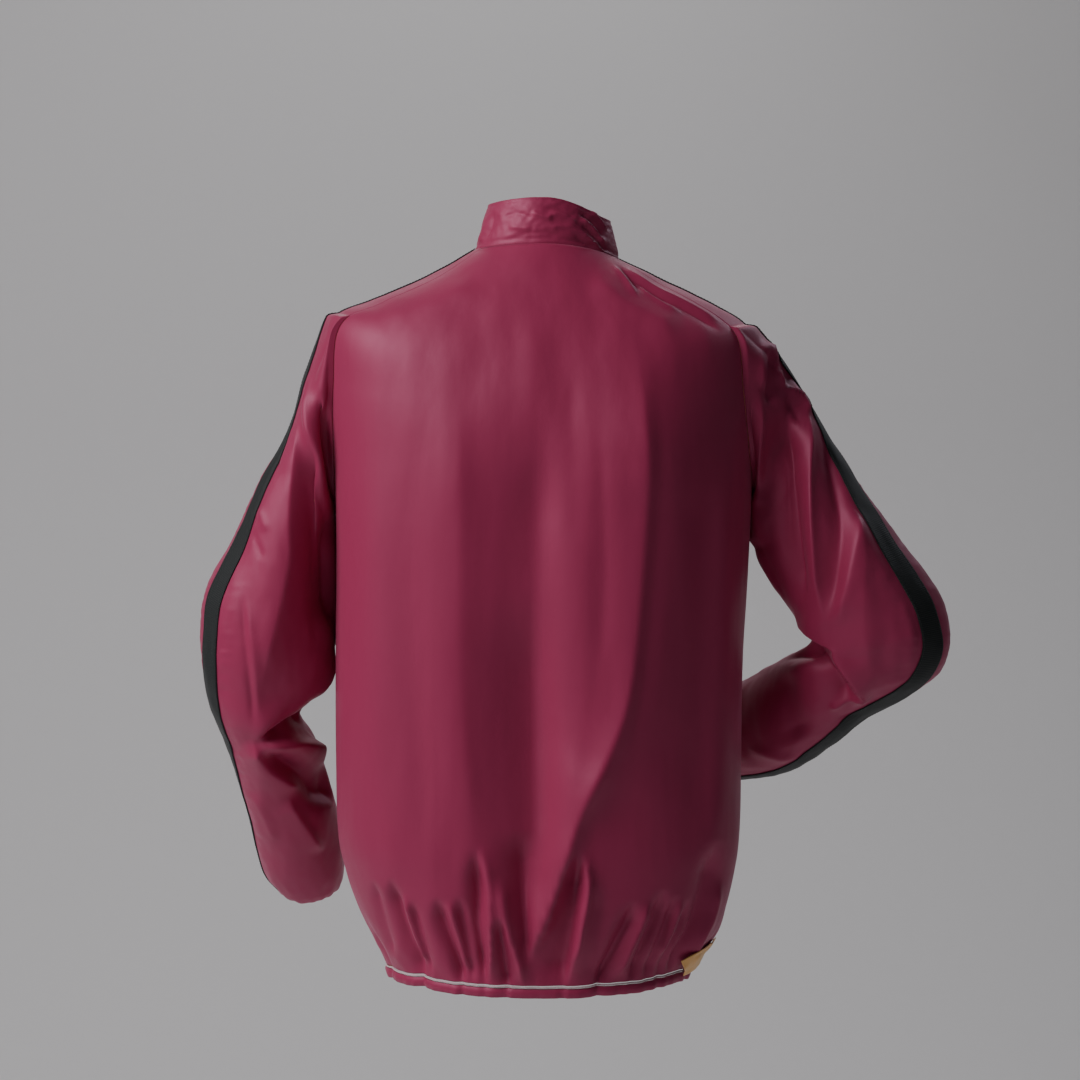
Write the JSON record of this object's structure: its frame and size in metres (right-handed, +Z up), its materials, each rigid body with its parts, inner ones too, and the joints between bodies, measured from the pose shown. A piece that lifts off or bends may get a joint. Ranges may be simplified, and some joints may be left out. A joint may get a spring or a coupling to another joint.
{
  "type": "reversible windbreaker",
  "caption": "Zip-front reversible windbreaker in its worn shape, with a stand collar, a broad tape down each sleeve and a gathered, piped hem.",
  "frame": {"origin": "centre of the neck opening, at the height of the collar seam at the back of the neck", "axes": "+Z up the wearer's body, -Y the front with the zip, +Y the back, +X the wearer's left"},
  "size_m": [0.7178, 0.3416, 0.7429],
  "materials": {
    "shell_satin": "glossy maroon woven satin",
    "reverse_ochre": "ochre woven reverse",
    "piping_pale": "pale pinkish piping cord",
    "tape_black": "matt black ribbed tape",
    "zip_tape_dark": "dark woven zip tape",
    "zip_metal": "plain satin metal"
  },
  "bodies": {
    "jacket": {"back_panel": "shell_satin", "front_left": "shell_satin", "front_right": "shell_satin", "sleeve_left": "shell_satin", "sleeve_right": "shell_satin", "collar": "shell_satin", "hem_band": "shell_satin", "hem_piping": "piping_pale", "hem_turnup": "reverse_ochre", "tape_left": "tape_black", "tape_right": "tape_black", "zip_tape_left": "zip_tape_dark", "zip_tape_right": "zip_tape_dark", "zip_teeth": "zip_metal", "zip_slider": "zip_metal"},
    "zip_pull": {"zip_pull": "zip_metal"}
  },
  "joints": [
    {"name": "pull_hinge", "type": "hinge", "parent": "jacket", "child": "zip_pull", "pos_m": [0, -0.07265, -0.02886], "axis": [-1, 0, 0], "range_deg": [0, 150]}
  ]
}
